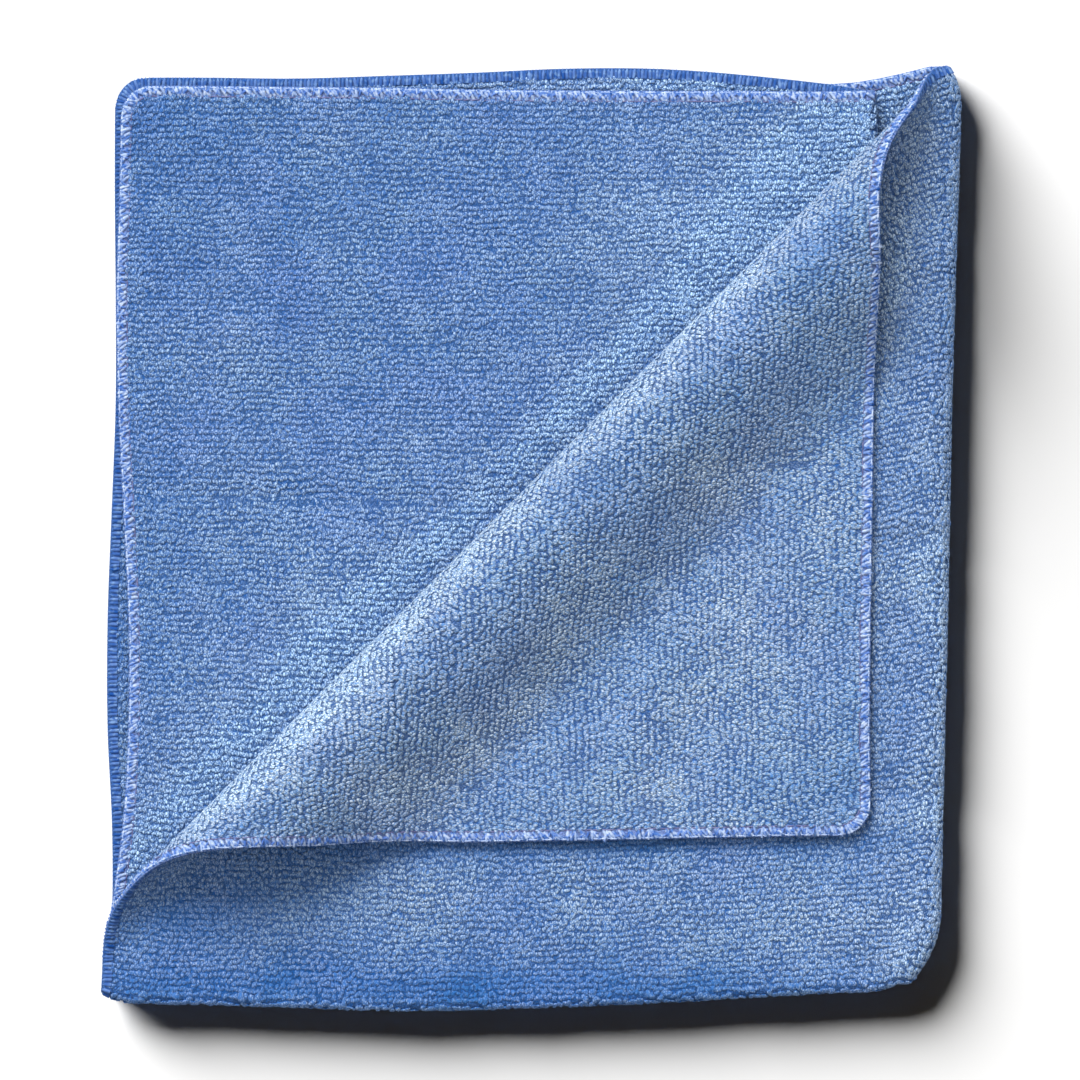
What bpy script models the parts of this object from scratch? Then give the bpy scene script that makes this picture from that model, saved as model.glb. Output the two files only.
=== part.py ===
"""Microfibre cleaning cloth, folded in quarters, its top corner peeled back in a soft roll.

The cloth is one cut and hemmed sheet. It is built flat, as a closed slab of the cloth's
thickness, and each point of the slab is then carried to its folded place: over the bottom
fold, over the right fold and, on the top layer, round the diagonal roll.

World frame: metres, +Z up, underside on the surface at z = 0, +X towards the right fold,
+Y away from the bottom fold. The sizes below are in millimetres.
"""

import math

import bmesh
import bpy
import numpy as np

MM = 0.001
NODE = "cloth"
COLLECTION = "microfibre_cloth"

# Sheet and layers
HALF_WIDTH = 190.0        # flat cloth, from the right fold line to the side hem
HALF_HEIGHT = 210.0       # flat cloth, from the bottom fold line to the end hem
THICKNESS = 1.8           # terry on both faces, lying unpressed
PITCH = 2.4               # from layer to layer, middle to middle
CORNER_RADIUS = 7.5       # rounded corners of the cut sheet
HEM_STEP = 0.7            # width of the bevelled rim of the hem
HEM_EDGE = 0.45           # share of the thickness left at the hem's outer edge

# Folds: the cloth is folded over the bottom fold first, then over the right one
BOTTOM_FOLD_RADIUS = PITCH / 2
RIGHT_FOLD_RADIUS = PITCH
FOLD_MIDDLE = THICKNESS / 2 + 1.5 * PITCH
LAYER_HEIGHT = HALF_HEIGHT - BOTTOM_FOLD_RADIUS * math.pi / 2

# Peeled corner: the line where the top layer lifts off, x - y = PEEL_LINE
PEEL_LINE = 2.7
ROLL_EDGE = 10.0          # how far the roll bulges past that line
ROLL_CREST = 18.1         # its height above the top layer
ROLL_FALL = 31.0          # from the crest to where the flap lies down
FLAP_REST = PITCH         # the flap's height above the top layer where it lies down
SIDE_BLEND = 16.0         # the roll fades out over this much cloth towards the right fold
END_BLEND = 8.0           # and over this much towards the bottom fold

# Where the folds and the side hems lie, from the bottom fold (0) to the end hems (1):
# the middle lines of the outer and inner right folds, then x of each layer's side hem
SIDE_COLUMNS = ("height", "outer_fold", "inner_fold", "top", "second", "third", "bottom")
SIDE_TABLE = (
    (0.00, 87.4, 81.8, -95.9, -95.9, -94.6, -94.6),
    (0.08, 87.2, 81.6, -94.9, -93.9, -93.6, -93.3),
    (0.17, 87.6, 81.2, -90.0, -91.4, -93.6, -92.4),
    (0.28, 88.1, 80.6, -87.4, -90.0, -94.6, -92.3),
    (0.40, 88.7, 79.9, -88.3, -89.9, -94.6, -92.3),
    (0.52, 89.2, 79.1, -89.5, -91.0, -93.7, -92.1),
    (0.64, 89.7, 78.2, -89.2, -92.2, -92.8, -91.6),
    (0.76, 90.4, 77.2, -88.8, -92.6, -92.8, -91.5),
    (0.88, 91.2, 76.1, -88.3, -92.0, -93.0, -91.5),
    (1.00, 91.9, 74.9, -88.0, -91.5, -92.9, -91.5),
)

# Where the bottom folds and the end hems lie, from the right fold (0) to the side hems (1):
# the middle lines of the upper and lower bottom folds, then y of each layer's end hem
END_COLUMNS = ("reach", "upper_fold", "lower_fold", "top", "second", "third", "bottom")
END_TABLE = (
    (0.00, -99.1, -99.1, 105.4, 100.0, 100.0, 105.4),
    (0.05, -99.3, -98.7, 102.2, 99.8, 101.4, 103.2),
    (0.10, -99.7, -98.9, 98.5, 99.8, 102.4, 101.7),
    (0.17, -100.4, -99.5, 96.2, 99.9, 103.6, 101.7),
    (0.27, -101.4, -100.5, 96.8, 99.9, 104.8, 101.1),
    (0.40, -102.5, -101.7, 98.1, 100.0, 104.9, 100.7),
    (0.52, -103.2, -102.4, 98.0, 100.2, 104.0, 100.7),
    (0.64, -103.5, -102.6, 97.7, 100.6, 103.3, 100.9),
    (0.76, -102.7, -101.9, 97.4, 100.8, 102.7, 101.1),
    (0.88, -102.1, -101.3, 97.3, 101.0, 102.9, 101.4),
    (1.00, -101.6, -101.0, 97.5, 101.1, 102.9, 101.4),
)

# Softened ends of the folds: how far a fold draws in at its end, and over what length
FOLD_END_COLUMNS = ("depth", "length")
FOLD_ENDS = {
    "right fold, foot": (5.6, 15.0),
    "right fold, head": (2.9, 9.0),
    "bottom fold, at the right fold": (1.6, 8.0),
    "bottom fold, at the hem": (1.9, 8.0),
}

# Middle of the folded outline, which is carried to the origin
OUTLINE_MIDDLE = (0.05, -0.05, 0.0)

# Soft swells of the pile of layers, which the upper layers share
SWELL_COLUMNS = ("x", "y", "heading", "half_length", "half_width", "rise")
SWELLS = (
    (-25.0, 45.0, 20.0, 70.0, 42.0, 1.3),
    (82.0, 30.0, 90.0, 75.0, 22.0, 0.9),
    (30.0, -88.0, 0.0, 80.0, 24.0, 0.8),
    (45.0, -20.0, 60.0, 60.0, 45.0, 0.7),
    (-60.0, -40.0, 75.0, 60.0, 34.0, 0.9),
)

# Mesh: fine across the top layer's quarter, coarse in the quarters that lie below
FINE_SIDE_SPANS = 31
FINE_END_SPANS = 34
COARSE_SPANS = (0.03, 0.12, 0.27, 0.42, 0.57, 0.72, 0.87, 0.96)
FOLD_SPANS = 6
HEM_LINES = (2.4, 5.0)

CLOTH_BLUE = (0.141, 0.305, 0.645, 1.0)
CLOTH_ROUGHNESS = 0.9


def table(columns, rows):
    """Turn a table into a dictionary of named columns."""
    return dict(zip(columns, np.array(rows).T))


SIDES = table(SIDE_COLUMNS, SIDE_TABLE)
ENDS = table(END_COLUMNS, END_TABLE)


def smooth_step(value):
    """Rise from 0 to 1 with level ends."""
    t = np.clip(value, 0.0, 1.0)
    return t * t * (3.0 - 2.0 * t)


def curve_through(stations, values, at):
    """Read a smooth curve that passes through the given values."""
    slopes = np.gradient(values, stations)
    at = np.clip(at, stations[0], stations[-1])
    low = np.clip(np.searchsorted(stations, at, side="right") - 1, 0, len(stations) - 2)
    span = stations[low + 1] - stations[low]
    t = (at - stations[low]) / span
    start = (1 + 2 * t) * (1 - t) ** 2 * values[low] + t * (1 - t) ** 2 * span * slopes[low]
    end = t * t * (3 - 2 * t) * values[low + 1] - t * t * (1 - t) * span * slopes[low + 1]
    return start + end


def side_line(column, height):
    """x of a fold or side hem at a share of the height."""
    return curve_through(SIDES["height"], SIDES[column], height)


def end_line(column, reach):
    """y of a fold or end hem at a share of the reach."""
    return curve_through(ENDS["reach"], ENDS[column], reach)


def draw_in(name, distance):
    """How far a fold lies inside its line, at a distance from its end."""
    end = dict(zip(FOLD_END_COLUMNS, FOLD_ENDS[name]))
    return end["depth"] * np.clip(1.0 - distance / end["length"], 0.0, 1.0) ** 2


def roll_profile():
    """Run of the peeled sheet across the roll: cloth length, forward run and height.

    Half an ellipse takes it over the crest, and a soft S lays it down again.
    """
    turn = np.linspace(0.0, math.pi, 600)
    share = np.linspace(0.0, 1.0, 600)[1:]
    drop = (ROLL_CREST - FLAP_REST) * (1.0 + np.cos(math.pi * share)) / 2
    run = np.concatenate((ROLL_EDGE * np.sin(turn), -ROLL_FALL * share))
    rise = np.concatenate((ROLL_CREST * (1.0 - np.cos(turn)) / 2, FLAP_REST + drop))
    step = np.hypot(np.diff(run), np.diff(rise))
    length = np.concatenate(([0.0], np.cumsum(step)))
    return length, run, rise


ROLL_LENGTH, ROLL_RUN, ROLL_RISE = roll_profile()


def peel(x, y, from_side_fold, from_end_fold):
    """Carry points of the top layer round the roll: their moves in x, y and z."""
    past_line = np.maximum((PEEL_LINE - (x - y)) / math.sqrt(2.0), 0.0)
    on_flap = np.maximum(past_line - ROLL_LENGTH[-1], 0.0)
    run = np.interp(past_line, ROLL_LENGTH, ROLL_RUN) - on_flap
    rise = np.interp(past_line, ROLL_LENGTH, ROLL_RISE)
    share = smooth_step(from_side_fold / SIDE_BLEND) * smooth_step(from_end_fold / END_BLEND)
    back = share * (run - past_line) / math.sqrt(2.0)
    return -back, back, share * rise


def swell(x, y):
    """Height that the swells add at a place."""
    height = np.zeros_like(x)
    for row in SWELLS:
        mark = dict(zip(SWELL_COLUMNS, row))
        turn = math.radians(mark["heading"])
        along = (x - mark["x"]) * math.cos(turn) + (y - mark["y"]) * math.sin(turn)
        across = (y - mark["y"]) * math.cos(turn) - (x - mark["x"]) * math.sin(turn)
        spread = (along / mark["half_length"]) ** 2 + (across / mark["half_width"]) ** 2
        height += mark["rise"] * np.exp(-spread)
    return height


def folded(side, end):
    """Middle of the sheet, folded.

    side and end run from -2 to 2: up to 1 from zero they turn round a fold, and from
    1 to 2 they cross a layer from that fold to its hem. A positive side lies in the two
    upper layers, and a positive end in the outer two, the top and the bottom one.
    """
    upper = side >= 0.0
    outer = end >= 0.0
    reach = np.maximum(np.abs(side) - 1.0, 0.0)
    height = np.maximum(np.abs(end) - 1.0, 0.0)
    side_turn = np.clip(side, -1.0, 1.0) * math.pi / 2
    end_turn = np.clip(end, -1.0, 1.0) * math.pi / 2
    radius = RIGHT_FOLD_RADIUS + BOTTOM_FOLD_RADIUS * np.sin(end_turn)

    def by_layer(line, share):
        """Pick each point's own layer from a table."""
        above = np.where(outer, line("top", share), line("second", share))
        below = np.where(outer, line("bottom", share), line("third", share))
        return np.where(upper, above, below)

    rise_mm = height * LAYER_HEIGHT
    side_mm = reach * (HALF_WIDTH - radius * math.pi / 2)
    outer_line = side_line("outer_fold", height)
    outer_line = outer_line - draw_in("right fold, foot", rise_mm)
    outer_line = outer_line - draw_in("right fold, head", LAYER_HEIGHT - rise_mm)
    fold_x = np.where(outer, outer_line, side_line("inner_fold", height))
    hem_x = by_layer(side_line, height)
    fold_y = np.where(upper, end_line("upper_fold", reach), end_line("lower_fold", reach))
    fold_y = fold_y + draw_in("bottom fold, at the right fold", side_mm)
    fold_y = fold_y + draw_in("bottom fold, at the hem", (1.0 - reach) * HALF_WIDTH)
    hem_y = by_layer(end_line, reach)

    x = fold_x + (hem_x - fold_x) * reach + radius * np.cos(side_turn)
    y = fold_y + (hem_y - fold_y) * height - BOTTOM_FOLD_RADIUS * np.cos(end_turn)
    z = FOLD_MIDDLE + radius * np.sin(side_turn)
    lift = np.clip((z - THICKNESS / 2) / (3.0 * PITCH), 0.0, 1.0)

    peeled = upper & outer
    from_side_fold = side_mm + np.clip(side, 0.0, 1.0) * radius * math.pi / 2
    move_x, move_y, rise = peel(x, y, from_side_fold, rise_mm)
    x = x + np.where(peeled, move_x, 0.0)
    y = y + np.where(peeled, move_y, 0.0)
    z = z + np.where(peeled, rise, 0.0) + lift * swell(x, y)
    return np.stack((x, y, z), axis=-1)


def round_corners(side, end):
    """Draw the square corners of the cut sheet in to its rounded ones."""
    flat_side = HALF_WIDTH - RIGHT_FOLD_RADIUS * math.pi / 2
    across = 1.0 - (2.0 - np.abs(side)) * flat_side / CORNER_RADIUS
    along = 1.0 - (2.0 - np.abs(end)) * LAYER_HEIGHT / CORNER_RADIUS
    inside = (across > 0.0) & (along > 0.0)
    round_across = across * np.sqrt(1.0 - np.clip(along, 0.0, 1.0) ** 2 / 2)
    round_along = along * np.sqrt(1.0 - np.clip(across, 0.0, 1.0) ** 2 / 2)
    new_side = 2.0 - (1.0 - round_across) * CORNER_RADIUS / flat_side
    new_end = 2.0 - (1.0 - round_along) * CORNER_RADIUS / LAYER_HEIGHT
    return (
        np.where(inside, np.sign(side) * new_side, side),
        np.where(inside, np.sign(end) * new_end, end),
    )


def facing(side, end):
    """Unit normals of the folded sheet, towards the face with the pale hem."""
    step = 1e-4
    along = folded(side + step, end) - folded(side - step, end)
    up = folded(side, end + step) - folded(side, end - step)
    normal = np.cross(along, up)
    return normal / np.linalg.norm(normal, axis=-1, keepdims=True)


def grid_lines(flat, fine_spans):
    """Places of the grid lines from -2 to 2: coarse layer, fold, fine layer."""
    hem = [1.0 - width / flat for width in (*reversed(HEM_LINES), HEM_STEP, 0.0)]
    first = hem[0]
    fine = [first * (index + 1) / fine_spans for index in range(fine_spans - 1)] + hem
    coarse = [share for share in COARSE_SPANS if share < first] + hem
    fold = np.linspace(-1.0, 1.0, FOLD_SPANS + 1)
    return np.concatenate((-1.0 - np.array(coarse[::-1]), fold, 1.0 + np.array(fine)))


def build_cloth(collection):
    """Build the flat slab and fold it."""
    side_lines = grid_lines(HALF_WIDTH - RIGHT_FOLD_RADIUS * math.pi / 2, FINE_SIDE_SPANS)
    end_lines = grid_lines(LAYER_HEIGHT, FINE_END_SPANS)
    columns, rows = len(side_lines), len(end_lines)

    slab = bmesh.new()
    bmesh.ops.create_grid(slab, x_segments=columns - 1, y_segments=rows - 1, size=1.0)
    bmesh.ops.triangulate(slab, faces=slab.faces[:], quad_method="ALTERNATE")
    bmesh.ops.solidify(slab, geom=slab.faces[:], thickness=0.1)

    flat = np.array([vertex.co[:] for vertex in slab.verts])
    column = np.rint((flat[:, 0] + 1.0) / 2.0 * (columns - 1)).astype(int)
    row = np.rint((flat[:, 1] + 1.0) / 2.0 * (rows - 1)).astype(int)
    pale_face = np.where(flat[:, 2] > flat[:, 2].mean(), 1.0, -1.0)
    at_hem = (column == 0) | (column == columns - 1) | (row == 0) | (row == rows - 1)
    depth = THICKNESS / 2 * np.where(at_hem, HEM_EDGE, 1.0)

    side, end = round_corners(side_lines[column], end_lines[row])
    places = folded(side, end) + facing(side, end) * (pale_face * depth)[:, None]
    places = places - np.array(OUTLINE_MIDDLE)
    for vertex, place in zip(slab.verts, places):
        vertex.co = place * MM

    mesh = bpy.data.meshes.new(NODE)
    slab.to_mesh(mesh)
    slab.free()
    for face in mesh.polygons:
        face.use_smooth = True
    cloth = bpy.data.objects.new(NODE, mesh)
    cloth.data.materials.append(terry_material())
    collection.objects.link(cloth)
    return cloth


def terry_material():
    """Plain blue terry."""
    material = bpy.data.materials.new("blue_terry")
    material.use_nodes = True
    surface = material.node_tree.nodes["Principled BSDF"]
    surface.inputs["Base Color"].default_value = CLOTH_BLUE
    surface.inputs["Roughness"].default_value = CLOTH_ROUGHNESS
    surface.inputs["Metallic"].default_value = 0.0
    return material


def main():
    """Clear the file and build the part."""
    for item in list(bpy.data.objects):
        bpy.data.objects.remove(item, do_unlink=True)
    collection = bpy.data.collections.new(COLLECTION)
    bpy.context.scene.collection.children.link(collection)
    build_cloth(collection)


main()
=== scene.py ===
"""Microfibre cleaning cloth, folded in quarters with one corner peeled back: its finished looks.

The sheet is laid on its solid's folds from the same sizes. On it stand the looped pile, loop
by loop, and the overlock threads of the hem. World frame: metres, +Z up, +X towards the right
fold, +Y away from the bottom fold. The sizes in the classes are in millimetres.
"""

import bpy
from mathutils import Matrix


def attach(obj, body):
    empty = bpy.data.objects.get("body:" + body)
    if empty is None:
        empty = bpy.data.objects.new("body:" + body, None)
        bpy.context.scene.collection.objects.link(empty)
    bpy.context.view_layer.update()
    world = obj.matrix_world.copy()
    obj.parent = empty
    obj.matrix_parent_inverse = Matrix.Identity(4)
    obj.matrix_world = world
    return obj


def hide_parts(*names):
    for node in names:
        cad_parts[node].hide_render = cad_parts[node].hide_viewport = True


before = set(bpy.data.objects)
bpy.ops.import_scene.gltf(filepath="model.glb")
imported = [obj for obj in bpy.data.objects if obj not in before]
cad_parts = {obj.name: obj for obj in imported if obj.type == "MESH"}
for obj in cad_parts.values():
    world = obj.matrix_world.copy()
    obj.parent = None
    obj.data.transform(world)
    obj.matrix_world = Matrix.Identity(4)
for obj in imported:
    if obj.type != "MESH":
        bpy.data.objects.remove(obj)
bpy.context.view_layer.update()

import logging
import math
from collections.abc import Callable
from dataclasses import dataclass
from enum import Enum

import bpy
import numpy as np
from mathutils import Vector
from mathutils.bvhtree import BVHTree

LOG = logging.getLogger("cloth")
MM = 0.001
NODE = "cloth"
BODY = "root"
SPECULAR = 0.10
Colour = tuple[float, float, float]
Grid = np.ndarray
Socket = bpy.types.NodeSocket
Piece = bpy.types.Object
Material = bpy.types.Material
Mesh = bpy.types.Mesh


class Face(Enum):
    """The sheet's two faces, by the colour of their hem thread, and the sign of their normal."""

    PALE = 1.0
    DARK = -1.0


def smooth_step(value: Grid) -> Grid:
    """Rise from 0 to 1 with level ends."""
    t = np.clip(value, 0.0, 1.0)
    return t * t * (3.0 - 2.0 * t)


def unit(vectors: Grid) -> Grid:
    """Scale vectors to length 1."""
    return vectors / np.linalg.norm(vectors, axis=-1, keepdims=True)


def grid_quads(height: int, width: int) -> Grid:
    """Corner numbers of the quads of a grid of points, given row by row."""
    corner = (np.arange(height - 1)[:, None] * width + np.arange(width - 1)).ravel()
    return np.stack((corner, corner + 1, corner + width + 1, corner + width), -1)


def put_in_scene(name: str, data: bpy.types.ID) -> Piece:
    """Make an object of a mesh, light or camera, and link it to the scene."""
    thing = bpy.data.objects.new(name, data)
    bpy.context.scene.collection.objects.link(thing)
    return thing


def curve_through(stations: Grid, values: Grid, at: Grid) -> Grid:
    """Read a smooth curve that passes through the given values.

    Args:
        stations: Where the values are given, rising.
        values: The curve's values there.
        at: Where it is read.

    Returns:
        The curve's values at those places.
    """
    slopes = np.gradient(values, stations)
    at = np.clip(at, stations[0], stations[-1])
    low = np.clip(np.searchsorted(stations, at, side="right") - 1, 0, len(stations) - 2)
    span = stations[low + 1] - stations[low]
    t = (at - stations[low]) / span
    start = (1 + 2 * t) * (1 - t) ** 2 * values[low] + t * (1 - t) ** 2 * span * slopes[low]
    end = t * t * (3 - 2 * t) * values[low + 1] - t * t * (1 - t) * span * slopes[low + 1]
    return start + end


@dataclass(frozen=True)
class SoftNoise:
    """Smooth unevenness over the flat cloth, about 1 high, as a sum of slanted waves."""

    seed: int
    wavelength: float
    waves: int = 14

    def at(self, across: Grid, along: Grid) -> Grid:
        """Read the unevenness.

        Args:
            across: Places across the cloth, in mm.
            along: Places along the cloth, in mm.

        Returns:
            Its height there, about -2 to 2.
        """
        draw = np.random.default_rng(self.seed)
        heading = draw.uniform(0.0, math.tau, self.waves)
        length = self.wavelength * draw.uniform(0.7, 1.6, self.waves)
        phase = draw.uniform(0.0, math.tau, self.waves)
        total = np.zeros_like(across)
        for turn, wave, start in zip(heading, length, phase):
            place = across * math.cos(turn) + along * math.sin(turn)
            total += np.sin(math.tau * place / wave + start)
        return total * math.sqrt(2.0 / self.waves)


@dataclass(frozen=True)
class Swell:
    """A soft rise or trough that the upper layers share, in the world frame."""

    x: float
    y: float
    heading: float
    half_length: float
    half_width: float
    rise: float
    sway: float = 0.0
    sway_length: float = 0.45

    def height(self, x: Grid, y: Grid) -> Grid:
        """Height that it adds at a place."""
        turn = math.radians(self.heading)
        along = (x - self.x) * math.cos(turn) + (y - self.y) * math.sin(turn)
        across = (y - self.y) * math.cos(turn) - (x - self.x) * math.sin(turn)
        across = across - self.sway * np.sin(along / (self.sway_length * self.half_length) + self.x)
        spread = (along / self.half_length) ** 2 + (across / self.half_width) ** 2
        return self.rise * np.exp(-spread)


def swells(*rows: tuple[float, ...]) -> tuple[Swell, ...]:
    """Make swells from rows of their sizes."""
    return tuple(Swell(*row) for row in rows)


SWELLS = swells(
    (-25.0, 45.0, 20.0, 70.0, 42.0, 1.3),
    (82.0, 30.0, 90.0, 75.0, 22.0, 0.9),
    (30.0, -88.0, 0.0, 80.0, 24.0, 0.8),
    (45.0, -20.0, 60.0, 60.0, 45.0, 0.7),
    (-60.0, -40.0, 75.0, 60.0, 34.0, 0.9),
)

# Creases that the cloth keeps from its pack, and other soft troughs and ridges
CREASES = swells(
    (-52.0, 8.4, -2.0, 42.0, 3.0, -0.75, 0.8),
    (88.0, -0.6, 3.0, 13.0, 3.2, -0.95, 0.3),
    (-30.4, -44.0, 91.0, 30.0, 3.4, 1.10, 0.6),
    (55.0, 16.6, 3.0, 26.0, 3.4, -0.60, 0.5),
    (86.0, -57.0, 2.0, 14.0, 3.8, -0.80, 0.4),
    (88.0, 71.0, 4.0, 12.0, 6.5, -0.70, 0.5),
    (0.8, -92.0, 92.0, 16.0, 2.6, -0.40, 0.4),
    (17.0, -91.0, 88.0, 15.0, 3.0, -0.36, 0.4),
    (-55.0, -47.0, 4.0, 26.0, 5.0, 0.70, 0.8),
    (41.0, -88.0, 84.0, 15.0, 4.0, -0.40, 0.4),
    (-30.0, -90.0, 96.0, 14.0, 5.0, 0.45, 0.5),
    (18.0, -50.0, 55.0, 30.0, 8.0, 0.60, 1.0),
    (45.0, -35.0, 35.0, 26.0, 7.0, -0.45, 1.0),
    (-10.0, 60.0, 12.0, 34.0, 9.0, 0.50, 1.2),
    (-62.0, 70.0, 78.0, 26.0, 8.0, -0.50, 1.2),
    (30.0, 72.0, -32.0, 30.0, 9.0, 0.50, 1.2),
)


class Part(Enum):
    """The parts of the folded cloth, each with its own patches of painted light and shade and of
    lighter or darker nap.
    """

    LAYERS = "the layers below the peeled one"
    FLAP = "the peeled layer's inner face"
    STRIPS = "the peeled layer's outer face"


# Patches of painted light and shade on the pile, partly lighter or darker nap: the roll's highlight
# and the light strip beside it, the shade under the flap's lower hem and along the bottom fold, and
# softer patches elsewhere
PAINTED_LIGHT_AND_NAP = {
    Part.LAYERS: swells(
        (-10.9, 9.1, 45.4, 240.0, 4.8, 0.84),
        (52.0, 74.0, 48.0, 50.0, 8.0, 0.62),
        (-49.0, -22.7, 20.0, 16.0, 8.0, 0.40),
        (-60.0, -40.0, 60.0, 30.0, 10.0, 0.16),
        (2.0, 28.0, 45.0, 105.0, 16.0, 0.26),
        (64.0, 84.0, 35.0, 18.0, 12.0, 0.92),
        (32.0, 78.0, 10.0, 36.0, 18.0, 0.24),
        (18.7, 66.7, 20.0, 18.0, 14.0, 0.20),
        (-78.0, 84.0, 60.0, 30.0, 16.0, -0.22),
        (-85.2, 95.8, 45.0, 8.0, 8.0, -0.30),
        (-66.0, -28.0, 80.0, 45.0, 22.0, 0.20),
        (-72.9, -49.5, 60.0, 15.0, 10.0, 0.30),
        (-85.2, -66.3, 60.0, 12.0, 6.0, 0.35),
        (-12.0, 3.0, 8.0, 20.0, 5.0, 0.10),
        (26.5, 101.3, 0.0, 60.0, 2.5, 0.80),
        (-2.5, 19.0, 45.0, 22.0, 5.0, -0.34),
        (-68.0, 44.0, 10.0, 12.0, 6.0, 0.30),
        (-70.0, 25.0, 90.0, 22.0, 10.0, 0.16),
        (-44.0, 89.0, 90.0, 8.0, 6.0, 0.25),
        (-44.0, 66.7, 0.0, 10.0, 7.0, 0.22),
        (-21.5, 22.0, 0.0, 10.0, 6.0, 0.20),
        (24.0, 72.0, 80.0, 16.0, 8.0, 0.26),
    ),
    Part.FLAP: swells(
        (7.3, 17.5, 45.0, 150.0, 4.6, 0.66),
        (-58.0, -46.5, 45.0, 34.0, 5.5, 0.92),
        (47.0, 63.0, 48.0, 40.0, 4.5, 0.52),
        (-33.5, -23.0, 46.0, 13.0, 6.0, 0.34),
        (-27.1, -22.7, 90.0, 7.0, 3.5, -0.30),
        (-38.0, -38.0, 60.0, 22.0, 10.0, 0.26),
        (-29.3, -56.2, 20.0, 9.0, 6.0, 0.60),
        (-44.0, -56.0, 0.0, 10.0, 6.0, 0.25),
        (-11.5, -45.0, 45.0, 16.0, 8.0, 0.50),
        (6.4, -22.7, 50.0, 14.0, 7.0, 0.30),
        (41.1, 11.5, 0.0, 12.0, 8.0, 0.65),
        (45.6, -17.0, 90.0, 12.0, 7.0, 0.35),
        (31.0, -56.0, 0.0, 12.0, 6.0, 0.35),
        (68.0, 6.0, 90.0, 12.0, 6.0, 0.30),
        (11.0, -5.0, 45.0, 12.0, 8.0, 0.25),
        (56.7, 22.0, 0.0, 8.0, 8.0, 0.25),
        (61.2, 66.7, 75.0, 20.0, 8.0, -0.24),
        (35.5, 42.1, 45.0, 14.0, 10.0, -0.14),
        (45.0, -38.0, 40.0, 38.0, 24.0, 0.22),
        (66.8, -58.4, 45.0, 11.0, 6.0, -0.28),
        (46.6, -56.2, 0.0, 12.0, 6.0, -0.22),
        (70.0, -30.0, 90.0, 40.0, 4.0, -0.18),
    ),
    Part.STRIPS: swells(
        (-20.0, -101.0, -0.5, 110.0, 5.0, -0.80),
        (15.4, -68.6, 1.0, 80.0, 2.2, -0.60),
        (-76.3, -84.0, 8.0, 18.0, 5.5, -0.50),
        (-72.0, -93.0, 0.0, 32.0, 9.0, -0.26),
        (-29.3, -80.8, 10.0, 12.0, 6.0, 0.26),
        (44.0, -86.0, 0.0, 46.0, 12.0, 0.18),
        (66.8, -81.9, 20.0, 14.0, 8.0, 0.16),
        (-14.0, -92.0, 25.0, 12.0, 6.0, -0.14),
        (14.0, -95.0, 10.0, 14.0, 5.0, -0.20),
        (84.6, 15.0, 90.0, 110.0, 10.0, 0.24),
        (91.5, -36.0, 90.0, 75.0, 4.5, 0.40),
        (85.0, -99.5, 30.0, 12.0, 5.0, 0.50),
        (87.0, -9.0, 85.0, 9.0, 8.0, 0.34),
        (87.0, -63.0, 75.0, 8.0, 6.0, 0.22),
        (79.5, 53.0, 86.0, 18.0, 4.0, 0.36),
        (87.0, 58.0, 88.0, 22.0, 8.0, 0.16),
        (86.0, -90.0, 60.0, 14.0, 9.0, 0.40),
        (80.5, 66.7, 88.0, 12.0, 5.0, 0.40),
        (85.0, 88.0, 60.0, 12.0, 8.0, 0.35),
        (78.0, -11.5, 90.0, 8.0, 4.0, 0.30),
        (-21.5, -78.6, 0.0, 10.0, 5.0, 0.30),
        (16.0, -78.6, 0.0, 14.0, 5.0, 0.20),
        (68.0, -89.7, 0.0, 12.0, 6.0, 0.25),
        (-46.0, -96.5, 0.0, 9.0, 5.0, -0.35),
        (42.0, -97.5, 0.0, 9.0, 5.0, -0.35),
    ),
}


def painted_light_and_nap(shares: dict[Part, Grid], places: Grid) -> Grid:
    """Read the painted light and shade, and the lighter or darker nap, on the pile.

    Args:
        shares: How far each place belongs to each part of the cloth.
        places: The places in the world frame, in mm.

    Returns:
        The lightness there, 0 outside the patches.
    """
    x, y = places[..., 0], places[..., 1]
    return sum(
        share * sum(patch.height(x, y) for patch in PAINTED_LIGHT_AND_NAP[part])
        for part, share in shares.items()
    )


def column_table(names: str, rows: tuple[tuple[float, ...], ...]) -> dict[str, Grid]:
    """Turn rows into a dictionary of named columns."""
    return dict(zip(names.split(), np.array(rows).T))


SIDE_TABLE = column_table(
    "height outer_fold inner_fold top second third bottom",
    (
        (0.00, 87.4, 81.8, -95.9, -95.9, -94.6, -94.6),
        (0.08, 87.2, 81.6, -94.9, -93.9, -93.6, -93.3),
        (0.17, 87.6, 81.2, -90.0, -91.4, -93.6, -92.4),
        (0.28, 88.1, 80.6, -87.4, -90.0, -94.6, -92.3),
        (0.40, 88.7, 79.9, -88.3, -89.9, -94.6, -92.3),
        (0.52, 89.2, 79.1, -89.5, -91.0, -93.7, -92.1),
        (0.64, 89.7, 78.2, -89.2, -92.2, -92.8, -91.6),
        (0.76, 90.4, 77.2, -88.8, -92.6, -92.8, -91.5),
        (0.88, 91.2, 76.1, -88.3, -92.0, -93.0, -91.5),
        (1.00, 91.9, 74.9, -88.0, -91.5, -92.9, -91.5),
    ),
)
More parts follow.
